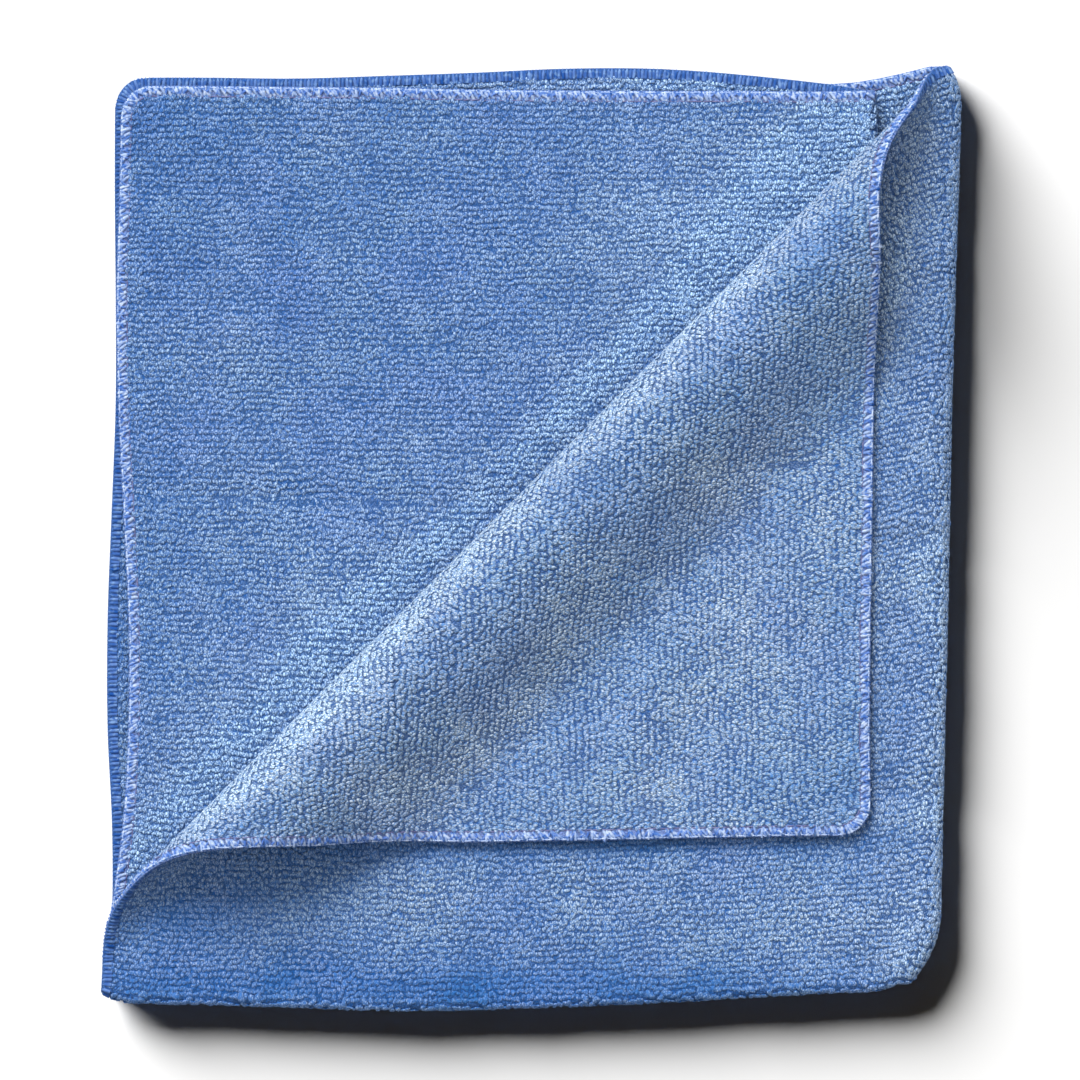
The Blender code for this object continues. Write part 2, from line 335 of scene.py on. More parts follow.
END_TABLE = column_table(
    "reach upper_fold lower_fold top second third bottom",
    (
        (0.00, -99.1, -99.1, 105.4, 100.0, 100.0, 105.4),
        (0.05, -99.3, -98.7, 102.2, 99.8, 101.4, 103.2),
        (0.10, -99.7, -98.9, 98.5, 99.8, 102.4, 101.7),
        (0.17, -100.4, -99.5, 96.2, 99.9, 103.6, 101.7),
        (0.27, -101.4, -100.5, 96.8, 99.9, 104.8, 101.1),
        (0.40, -102.5, -101.7, 98.1, 100.0, 104.9, 100.7),
        (0.52, -103.2, -102.4, 98.0, 100.2, 104.0, 100.7),
        (0.64, -103.5, -102.6, 97.7, 100.6, 103.3, 100.9),
        (0.76, -102.7, -101.9, 97.4, 100.8, 102.7, 101.1),
        (0.88, -102.1, -101.3, 97.3, 101.0, 102.9, 101.4),
        (1.00, -101.6, -101.0, 97.5, 101.1, 102.9, 101.4),
    ),
)


@dataclass(frozen=True)
class FoldEnd:
    """How far a fold draws in at one end, and over what length."""

    depth: float
    length: float

    def draw(self, distance: Grid) -> Grid:
        """Draw-in at a distance from the end."""
        return self.depth * np.clip(1.0 - distance / self.length, 0.0, 1.0) ** 2


@dataclass
class Folding:
    """Where each point of the flat cloth lies once it is folded and peeled.

    A flat place is given across the cloth, positive in the two upper layers, and along it,
    positive in the top and the bottom layer. Both are 0 on the fold lines.
    """

    half_width: float = 190.0
    half_height: float = 210.0
    thickness: float = 1.8
    pitch: float = 2.4
    corner_radius: float = 7.5
    bottom_fold_radius: float = 1.2
    right_fold_radius: float = 2.4
    peel_line: float = 2.7
    roll_edge: float = 10.0
    roll_crest: float = 18.1
    roll_fall: float = 31.0
    flap_rest: float = 2.4
    side_blend: float = 16.0
    end_blend: float = 8.0
    right_fold_foot: FoldEnd = FoldEnd(5.6, 15.0)
    right_fold_head: FoldEnd = FoldEnd(2.9, 9.0)
    bottom_fold_corner: FoldEnd = FoldEnd(1.6, 8.0)
    bottom_fold_hem: FoldEnd = FoldEnd(1.9, 8.0)
    outline_middle: tuple[float, float, float] = (0.05, -0.05, 0.0)
    unevenness: float = 0.11
    # Shares by which the flap and the strips are made paler and greyer
    flap_paling: float = 1.0
    strip_paling: float = 0.42
    part_blend: float = 6.0
    profile_steps: int = 600
    axis_step: float = 0.02

    def __post_init__(self) -> None:
        """Work out the arcs of the folds and the roll's profile."""
        self.side_arc = self.right_fold_radius * math.pi / 2
        self.end_arc = self.bottom_fold_radius * math.pi / 2
        self.fold_middle = self.thickness / 2 + 1.5 * self.pitch
        self.layer_height = self.half_height - self.end_arc
        turn = np.linspace(0.0, math.pi, self.profile_steps)
        share = np.linspace(0.0, 1.0, self.profile_steps)[1:]
        drop = (self.roll_crest - self.flap_rest) * (1.0 + np.cos(math.pi * share)) / 2
        self.run = np.concatenate((self.roll_edge * np.sin(turn), -self.roll_fall * share))
        over = self.roll_crest * (1.0 - np.cos(turn)) / 2
        self.rise = np.concatenate((over, self.flap_rest + drop))
        step = np.hypot(np.diff(self.run), np.diff(self.rise))
        self.length = np.concatenate(([0.0], np.cumsum(step)))
        self.bumps = (SoftNoise(21, 17.0), SoftNoise(22, 34.0))

    def turns(self, across: Grid, along: Grid) -> tuple[Grid, Grid]:
        """Turn flat places into shares: up to 1 round a fold, then up to 2 over a layer."""

        def share(flat: Grid, arc: Grid, half: float) -> Grid:
            """Share of one direction, from -2 to 2."""
            past = 1.0 + (np.abs(flat) - arc) / (half - arc)
            return np.where(np.abs(flat) <= arc, flat / arc, np.sign(flat) * past)

        end = share(along, self.end_arc, self.half_height)
        turn = np.clip(end, -1.0, 1.0) * math.pi / 2
        radius = self.right_fold_radius + self.bottom_fold_radius * np.sin(turn)
        return share(across, radius * math.pi / 2, self.half_width), end

    def from_edge(self, across: Grid, along: Grid) -> Grid:
        """Distance of flat places from the rounded outline of the cut cloth."""
        in_side = self.half_width - np.abs(across)
        in_end = self.half_height - np.abs(along)
        radius = self.corner_radius
        round_in = radius - np.hypot(radius - in_side, radius - in_end)
        in_corner = (in_side < radius) & (in_end < radius)
        return np.where(in_corner, round_in, np.minimum(in_side, in_end))

    def peel(self, x: Grid, y: Grid, from_side: Grid, from_end: Grid) -> tuple[Grid, Grid, Grid]:
        """Carry the top layer round the roll: its moves in x, y and z.

        Args:
            x: Places before the corner is peeled.
            y: The same.
            from_side: Distance along the cloth from the middle of the right fold.
            from_end: Distance along the cloth from the bottom fold.

        Returns:
            The moves in x, y and z.
        """
        past = np.maximum((self.peel_line - (x - y)) / math.sqrt(2.0), 0.0)
        on_flap = np.maximum(past - self.length[-1], 0.0)
        run = np.interp(past, self.length, self.run) - on_flap
        rise = np.interp(past, self.length, self.rise)
        share = smooth_step(from_side / self.side_blend) * smooth_step(from_end / self.end_blend)
        back = share * (run - past) / math.sqrt(2.0)
        return -back, back, share * rise

    def relief(self, x: Grid, y: Grid) -> Grid:
        """Height of the swells, the creases and the small unevenness at a place."""
        height = sum(mark.height(x, y) for mark in SWELLS + CREASES)
        bumps = sum(noise.at(x, y) for noise in self.bumps)
        return height + self.unevenness * (bumps + 2.0)

    def folded(self, side: Grid, end: Grid) -> Grid:
        """Middle of the folded sheet.

        Args:
            side: Share across the cloth, from -2 to 2, as turns gives it.
            end: Share along the cloth, the same way.

        Returns:
            Places in the world frame, in mm.
        """
        upper, outer = side >= 0.0, end >= 0.0
        reach = np.maximum(np.abs(side) - 1.0, 0.0)
        height = np.maximum(np.abs(end) - 1.0, 0.0)
        side_turn = np.clip(side, -1.0, 1.0) * math.pi / 2
        end_turn = np.clip(end, -1.0, 1.0) * math.pi / 2
        radius = self.right_fold_radius + self.bottom_fold_radius * np.sin(end_turn)
        rise_mm = height * self.layer_height
        side_mm = reach * (self.half_width - radius * math.pi / 2)

        def side_line(column: str, share: Grid) -> Grid:
            """Read an edge or fold that runs up the cloth."""
            return curve_through(SIDE_TABLE["height"], SIDE_TABLE[column], share)

        def end_line(column: str, share: Grid) -> Grid:
            """Read an edge or fold that runs across the cloth."""
            return curve_through(END_TABLE["reach"], END_TABLE[column], share)

        def by_layer(line: Callable[[str, Grid], Grid], share: Grid) -> Grid:
            """Read the hem line of each place's own layer."""
            above = np.where(outer, line("top", share), line("second", share))
            below = np.where(outer, line("bottom", share), line("third", share))
            return np.where(upper, above, below)

        outer_fold = side_line("outer_fold", height) - self.right_fold_foot.draw(rise_mm)
        outer_fold = outer_fold - self.right_fold_head.draw(self.layer_height - rise_mm)
        fold_x = np.where(outer, outer_fold, side_line("inner_fold", height))
        fold_y = np.where(upper, end_line("upper_fold", reach), end_line("lower_fold", reach))
        fold_y = fold_y + self.bottom_fold_corner.draw(side_mm)
        fold_y = fold_y + self.bottom_fold_hem.draw((1.0 - reach) * self.half_width)

        x = fold_x + (by_layer(side_line, height) - fold_x) * reach + radius * np.cos(side_turn)
        y = fold_y + (by_layer(end_line, reach) - fold_y) * height
        y = y - self.bottom_fold_radius * np.cos(end_turn)
        z = self.fold_middle + radius * np.sin(side_turn)
        lift = np.clip((z - self.thickness / 2) / (3.0 * self.pitch), 0.0, 1.0)

        peeled = upper & outer
        from_side = side_mm + np.clip(side, 0.0, 1.0) * radius * math.pi / 2
        move_x, move_y, up = self.peel(x, y, from_side, rise_mm)
        x = x + np.where(peeled, move_x, 0.0)
        y = y + np.where(peeled, move_y, 0.0)
        z = z + np.where(peeled, up, 0.0) + lift * self.relief(x, y)
        return np.stack((x, y, z), axis=-1) - np.array(self.outline_middle)

    def place(self, across: Grid, along: Grid) -> Grid:
        """Carry flat places to the folded cloth."""
        return self.folded(*self.turns(across, along))

    def parts(self, face: Face, across: Grid, along: Grid) -> dict[Part, Grid]:
        """How far flat places of one face belong to each part of the folded cloth."""
        blend = self.part_blend
        top = smooth_step(across / blend + 0.5) * smooth_step(along / blend + 0.5)
        return {Part.LAYERS: 1.0 - top, Part.FLAP if face is Face.PALE else Part.STRIPS: top}

    def paled(self, face: Face, across: Grid, along: Grid) -> Grid:
        """How far a face's colour is made paler and greyer: the top layer's is, its flap's most,
        and the others' aren't.
        """
        parts = self.parts(face, across, along)
        flap, strips = parts.get(Part.FLAP, 0.0), parts.get(Part.STRIPS, 0.0)
        return self.flap_paling * flap + self.strip_paling * strips

    def axes(self, across: Grid, along: Grid) -> tuple[Grid, Grid, Grid]:
        """Directions on the folded cloth.

        Args:
            across: Flat places.
            along: Flat places.

        Returns:
            Unit vectors across the cloth, along it, and out of the face with the pale hem.
        """
        step = self.axis_step
        sideways = self.place(across + step, along) - self.place(across - step, along)
        upwards = self.place(across, along + step) - self.place(across, along - step)
        return unit(sideways), unit(upwards), unit(np.cross(sideways, upwards))


class Nodes:
    """A node tree being built, with short ways to add and join its nodes."""

    def __init__(self, tree: bpy.types.NodeTree) -> None:
        """Take the tree that is to be filled."""
        self.tree = tree

    def add(self, kind: str, inputs: dict | None = None, **settings: object) -> bpy.types.Node:
        """Add a node.

        Args:
            kind: Its type name.
            inputs: Values or output sockets for its inputs, by name or number.
            settings: Its own settings.

        Returns:
            The node.
        """
        node = self.tree.nodes.new(kind)
        for name, value in settings.items():
            setattr(node, name, value)
        for key, value in (inputs or {}).items():
            self.put(node, key, value)
        return node

    def put(self, node: bpy.types.Node, key: str | int, value: object) -> None:
        """Set a node's input to a value, or join an output socket to it."""
        if isinstance(value, Socket):
            self.tree.links.new(value, node.inputs[key])
        else:
            node.inputs[key].default_value = value

    def maths(self, operation: str, first: object, second: object = 0.0) -> Socket:
        """Join two values by an operation and return the result."""
        kind = "ShaderNodeMath"
        return self.add(kind, {0: first, 1: second}, operation=operation).outputs[0]

    def times(self, first: object, second: object) -> Socket:
        """Multiply two values."""
        return self.maths("MULTIPLY", first, second)


class Paint(Nodes):
    """The node tree of one material."""

    def __init__(self, name: str) -> None:
        """Make the material."""
        self.material = bpy.data.materials.new(name)
        self.material.use_nodes = True
        super().__init__(self.material.node_tree)
        self.surface = self.tree.nodes["Principled BSDF"]

    def attribute(self, name: str, output: str = "Fac") -> Socket:
        """Read one of the piece's own attributes."""
        return self.add("ShaderNodeAttribute", attribute_name=name).outputs[output]

    def noise(self, where: object, scale: float, detail: float = 2.0) -> Socket:
        """Add a noise pattern and return its value."""
        inputs = {"Vector": where, "Scale": scale, "Detail": detail}
        return self.add("ShaderNodeTexNoise", inputs).outputs["Fac"]

    def blend(
        self, share: object, low: object, high: object, way: str = "MIX"
    ) -> Socket:
        """Mix two colours.

        Args:
            share: How much of the second one.
            low: The first colour, or a socket.
            high: The second colour, or a socket.
            way: How they are mixed.

        Returns:
            The mixed colour.
        """
        node = self.add("ShaderNodeMix", data_type="RGBA", blend_type=way)
        for index, value in ((0, share), (6, low), (7, high)):
            self.put(node, index, (*value, 1.0) if isinstance(value, tuple) else value)
        return node.outputs[2]

    def spread(
        self, value: object, low: float, high: float, to_low: float = 0.0, to_high: float = 1.0
    ) -> Socket:
        """Stretch a range of values to another one."""
        inputs = {"Value": value, 1: low, 2: high, 3: to_low, 4: to_high}
        return self.add("ShaderNodeMapRange", inputs).outputs[0]

    def bump(self, height: object, strength: float, distance: float) -> None:
        """Raise the surface's pattern, in metres."""
        inputs = {"Height": height, "Strength": strength, "Distance": distance}
        self.put(self.surface, "Normal", self.add("ShaderNodeBump", inputs).outputs[0])

    def finish(
        self,
        colour: object,
        roughness: object,
        sheen: float,
        sheen_roughness: float,
        tint: Colour,
    ) -> Material:
        """Set the surface's colour and its dull shine.

        Args:
            colour: The colour's socket.
            roughness: A value or a socket.
            sheen: Strength of the fabric's sheen.
            sheen_roughness: How wide the sheen spreads.
            tint: Colour of the sheen.

        Returns:
            The material.
        """
        self.put(self.surface, "Base Color", colour)
        self.put(self.surface, "Roughness", roughness)
        self.put(self.surface, "Sheen Weight", sheen)
        self.put(self.surface, "Sheen Roughness", sheen_roughness)
        self.put(self.surface, "Sheen Tint", (*tint, 1.0))
        self.put(self.surface, "Specular IOR Level", SPECULAR)
        return self.material


@dataclass(frozen=True)
class TerryFinish:
    """Soft matt microfibre terry, mottled: its deep blue ground with painted shade between the
    loops, and painted highlights on the loops' tops.
    """

    # Deep blue where the loops meet: partly the ground's own colour, partly painted shade between
    # the loops
    gap: Colour = (0.007, 0.078, 0.300)
    # Lighter crevice colour where the top layer is made paler
    paled_gap: Colour = (0.040, 0.155, 0.415)
    low: Colour = (0.030, 0.125, 0.375)
    middle: Colour = (0.228, 0.350, 0.546)
    high: Colour = (0.308, 0.428, 0.590)
    # Pale painted highlight, mixed in where the painted light patches are strongest, as along the
    # roll's edge
    painted_highlight: Colour = (0.385, 0.565, 0.790)
    violet: Colour = (0.190, 0.290, 0.590)
    # Colour of the painted highlight specks on the loops' tops
    highlight_speck: Colour = (0.570, 0.620, 0.750)
    # Multiplier that makes the top layer paler and greyer, its flap most
    paled: Colour = (1.46, 1.235, 1.015)
    pale_hem: Colour = (0.170, 0.250, 0.540)
    dark_hem: Colour = (0.030, 0.100, 0.320)
    hem_width: float = 2.3
    gap_rise: tuple[float, float] = (0.35, 0.62)
    strand_scale: float = 1750.0
    strand_shape: Colour = (1.30, 0.70, 1.0)
    turned_shape: Colour = (0.70, 1.30, 1.0)
    strand_edge: tuple[float, float] = (0.02, 0.20)
    strand_dark: float = 0.10
    highlight_speck_share: float = 0.16
    relief: float = 0.00014
    # Scale of the noise that bends the strands, and how far it moves them, in metres
    strand_bend: tuple[float, float] = (1100.0, 0.0009)
    bump: float = 0.9
    ground_relief: float = 0.0004
    between_share: float = 0.7
    sheen: float = 0.1
    sheen_tint: Colour = (0.60, 0.82, 1.0)
    tint_share: float = 0.14
    # Scale, detail, lowest and highest value, and share of each noise in the mottling
    patches: tuple[tuple[float, ...], ...] = (
        (26.0, 1.0, 0.32, 0.68, 0.22),
        (78.0, 2.0, 0.30, 0.70, 0.24),
        (260.0, 2.0, 0.30, 0.70, 0.16),
    )

    def mottled(self, paint: Paint, where: object, tint: object) -> Socket:
        """Mix the pile's colour from soft patches.

        Args:
            paint: The material.
            where: Flat place on the cloth, in metres.
            tint: A value from 0 to 1 of each loop's own.

        Returns:
            The colour.
        """
        # Start from the painted light and shade patches; the noises below add the real mottling
        mixed = paint.attribute("painted_light_and_nap")
        for scale, detail, low, high, share in self.patches:
            patch = paint.spread(paint.noise(where, scale, detail), low, high)
            mixed = paint.maths("ADD", mixed, paint.times(patch, share))
        mixed = paint.maths("ADD", mixed, paint.times(tint, self.tint_share))
        dark_half = paint.blend(paint.spread(mixed, -0.40, 0.50), self.low, self.middle)
        light_half = paint.blend(paint.spread(mixed, 0.50, 0.92), dark_half, self.high)
        hue = paint.spread(paint.noise(where, 44.0, 2.0), 0.42, 0.72, 0.0, 0.5)
        hued = paint.blend(hue, light_half, self.violet)
        # Painted highlight where the painted light patches are strongest
        highlighted = paint.blend(paint.spread(mixed, 0.75, 1.35), hued, self.painted_highlight)
        # Make the top layer paler and greyer by its share
        paler = paint.blend(1.0, highlighted, self.paled, "MULTIPLY")
        return paint.blend(paint.attribute("paled"), highlighted, paler)

    def loops(self, name: str) -> Material:
        """Make the material of the standing loops."""
        paint = Paint(name)
        where = paint.attribute("cloth", "Vector")
        tint = paint.attribute("tint")
        pile = self.mottled(paint, where, tint)
        # Painted shade: each loop darkens to the crevice colour towards its foot and where the
        # strands meet
        up = paint.spread(paint.attribute("rise"), *self.gap_rise)
        strands = self.strands(paint)
        shade = paint.times(up, paint.spread(strands, 0.0, 1.0, self.strand_dark, 1.0))
        place = paint.add("ShaderNodeTexCoord").outputs["Object"]
        # Painted highlights: pale specks on the loops' tops
        speck = paint.spread(paint.noise(place, 2300.0, 1.0), 0.50, 0.66, 0.0, self.highlight_speck_share)
        highlight_specks = paint.times(speck, paint.spread(strands, 0.5, 1.0))
        deep = paint.blend(paint.attribute("paled"), self.gap, self.paled_gap)
        colour = paint.blend(highlight_specks, paint.blend(shade, deep, pile), self.highlight_speck)
        paint.bump(strands, self.bump, self.relief)
        dull = paint.spread(strands, 0.0, 1.0, 0.96, 0.80)
        return paint.finish(colour, dull, self.sheen, 0.4, self.sheen_tint)

    def strands(self, paint: Paint) -> Socket:
        """Part the pile into short curled strands, with painted shade where they meet."""
        object_place = paint.add("ShaderNodeTexCoord").outputs["Object"]
        turned = paint.spread(paint.attribute("paled"), 0.6, 0.8)
        shape = paint.blend(turned, self.strand_shape, self.turned_shape)
        drawn_out = {0: object_place, 1: shape}
        place = paint.add("ShaderNodeVectorMath", drawn_out, operation="MULTIPLY").outputs[0]
        scale, shift_by = self.strand_bend
        noise = paint.add("ShaderNodeTexNoise", {"Vector": place, "Scale": scale, "Detail": 1.0})
        shift = {0: noise.outputs["Color"], "Scale": shift_by}
        moved = paint.add("ShaderNodeVectorMath", shift, operation="SCALE").outputs[0]
        bent = paint.add("ShaderNodeVectorMath", {0: place, 1: moved}, operation="ADD").outputs[0]
        cells = {"Vector": bent, "Scale": self.strand_scale, "Randomness": 1.0}
        edges = paint.add("ShaderNodeTexVoronoi", cells, feature="DISTANCE_TO_EDGE")
        return paint.spread(edges.outputs["Distance"], *self.strand_edge)

    def sheet(self, name: str) -> Material:
        """Make the material of the ground sheet, which shows between the loops and below."""
        paint = Paint(name)
        where = paint.attribute("cloth", "Vector")
        round_tops = self.strands(paint)
        pile = self.mottled(paint, where, paint.spread(paint.noise(where, 700.0), 0.3, 0.7))
        # Painted shade: the ground darkens to the crevice colour where the strands meet and where
        # loops stand on it
        flat = paint.blend(paint.spread(round_tops, 0.0, 0.6, 0.1, 1.0), self.gap, pile)
        between = paint.times(paint.attribute("pile"), self.between_share)
        ground = paint.blend(between, flat, self.gap)
        edge = paint.attribute("from_edge")
        on_hem = paint.spread(edge, self.hem_width + 0.25, self.hem_width - 0.05)
        hem = paint.blend(paint.attribute("pale_side"), self.dark_hem, self.pale_hem)
        colour = paint.blend(on_hem, ground, hem)
        paint.bump(round_tops, self.bump, self.ground_relief)
        dull = paint.spread(round_tops, 0.0, 1.0, 0.95, 0.82)
        return paint.finish(colour, dull, self.sheen, 0.5, self.sheen_tint)


@dataclass(frozen=True)
class ThreadFinish:
    """Soft crimped overlock thread in two mixed tones."""

    low: Colour
    high: Colour
    fleck: Colour
    spot: Colour
    flecks: float = 0.3
    spots: float = 0.3
    sheen: float = 0.1
    sheen_tint: Colour = (0.85, 0.90, 1.0)
    patch_share: float = 0.45
    tint_share: float = 0.65
    crimp_scale: float = 4200.0
    crimp_relief: float = 0.00015

    def build(self, name: str) -> Material:
        """Make the material."""
        paint = Paint(name)
        place = paint.add("ShaderNodeTexCoord").outputs["Object"]
        patch = paint.spread(paint.noise(place, 420.0, 2.0), 0.35, 0.65)
        tone = paint.times(patch, self.patch_share)
        tint = paint.times(paint.attribute("tint"), self.tint_share)
        colour = paint.blend(paint.maths("ADD", tone, tint), self.low, self.high)
        speckle = paint.noise(place, 1000.0, 1.0)
        fleck = paint.spread(speckle, 0.54, 0.68, 0.0, self.flecks)
        colour = paint.blend(fleck, colour, self.fleck)
        spot = paint.spread(speckle, 0.46, 0.36, 0.0, self.spots)
        colour = paint.blend(spot, colour, self.spot)
        crimp = paint.noise(place, self.crimp_scale, 2.0)
        paint.bump(crimp, 0.5, self.crimp_relief)
        dull = paint.spread(crimp, 0.3, 0.7, 0.6, 0.85)
        return paint.finish(colour, dull, self.sheen, 0.4, self.sheen_tint)


class GeometryTree(Nodes):
    """A Geometry Nodes tree with named inputs, ending in plain mesh with its material."""

    def __init__(self, name: str, sizes: dict[str, str]) -> None:
        """Make the tree.

        Args:
            name: The tree's name.
            sizes: Socket type of each named input.
        """
        super().__init__(bpy.data.node_groups.new(name, "GeometryNodeTree"))
        face = self.tree.interface
        face.new_socket("Geometry", in_out="INPUT", socket_type="NodeSocketGeometry")
        self.keys = {}
        for label, kind in (*sizes.items(), ("Material", "NodeSocketMaterial")):
            self.keys[label] = face.new_socket(label, in_out="INPUT", socket_type=kind).identifier
        face.new_socket("Geometry", in_out="OUTPUT", socket_type="NodeSocketGeometry")
        self.inputs = self.add("NodeGroupInput").outputs

    def named(self, name: str, kind: str) -> Socket:
        """Read an attribute of the points."""
        node = self.add("GeometryNodeInputNamedAttribute", {"Name": name}, data_type=kind)
        return next(s for s in node.outputs if s.enabled and s.name == "Attribute")

    def vector(self, x: object, y: object, z: object) -> Socket:
        """Join three values to a vector."""
        return self.add("ShaderNodeCombineXYZ", {0: x, 1: y, 2: z}).outputs[0]

    def standing(self) -> Socket:
        """Rotation of each copy: its Z out of the face, its X along the point's line."""
        axes = {0: self.named("facing", "FLOAT_VECTOR"), 1: self.named("line", "FLOAT_VECTOR")}
        turned = self.add("FunctionNodeAxesToRotation", axes, primary_axis="Z", secondary_axis="X")
        result = turned.outputs[0]
        for axis, name in (((0.0, 0.0, 1.0), "turn"), ((0.0, 1.0, 0.0), "lean")):
            angle = {"Axis": axis, "Angle": self.named(name, "FLOAT")}
            by = self.add("FunctionNodeAxisAngleToRotation", angle).outputs[0]
            both = {0: result, 1: by}
            result = self.add("FunctionNodeRotateRotation", both, rotation_space="LOCAL").outputs[0]
        return result

    def close(self, shown: Socket) -> None:
        """Realize the copies, smooth them and set their material."""
        plain = self.add("GeometryNodeRealizeInstances", {0: shown}).outputs[0]
        smooth = self.add("GeometryNodeSetShadeSmooth", {0: plain}).outputs[0]
        inputs = {"Geometry": smooth, "Material": self.inputs["Material"]}
        dressed = self.add("GeometryNodeSetMaterial", inputs).outputs[0]
        self.add("NodeGroupOutput", {0: dressed})

    def run(self, name: str, points: Mesh, values: dict[str, object]) -> Piece:
        """Put the tree on a cloud of points and keep its result as a plain mesh.

        Args:
            name: The piece's name.
            points: The points with their attributes.
            values: The tree's inputs by name.

        Returns:
            The finished piece.
        """
        piece = put_in_scene(name, points)
        modifier = piece.modifiers.new("pattern", "NODES")
        modifier.node_group = self.tree
        for label, value in values.items():
            modifier[self.keys[label]] = value
        graph = bpy.context.evaluated_depsgraph_get()
        graph.update()
        mesh = bpy.data.meshes.new_from_object(piece.evaluated_get(graph))
        piece.modifiers.remove(modifier)
        piece.data = mesh
        mesh.name = name
        bpy.data.meshes.remove(points)
        return piece


def point_cloud(name: str, places: Grid, attributes: dict[str, Grid]) -> Mesh:
    """Make a mesh of loose points with attributes.

    Args:
        name: The mesh's name.
        places: Their places in metres.
        attributes: Vectors, numbers or whole numbers, one for each point.

    Returns:
        The mesh.
    """
    mesh = bpy.data.meshes.new(name + "_points")
    mesh.vertices.add(len(places))
    mesh.vertices.foreach_set("co", places.astype(np.float32).ravel())
    for key, values in attributes.items():
        if values.ndim == 2:
            layer = mesh.attributes.new(key, "FLOAT_VECTOR", "POINT")
            layer.data.foreach_set("vector", values.astype(np.float32).ravel())
        elif values.dtype.kind == "i":
            mesh.attributes.new(key, "INT", "POINT").data.foreach_set("value", values)
        else:
            layer = mesh.attributes.new(key, "FLOAT", "POINT")
            layer.data.foreach_set("value", values.astype(np.float32))
    return mesh


def ride(piece: Piece) -> Piece:
    """Let a piece move with the cloth's body."""
    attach(piece, BODY)
    count = sum(len(face.vertices) - 2 for face in piece.data.polygons)
    LOG.info("%s: %d triangles", piece.name, count)
    return piece


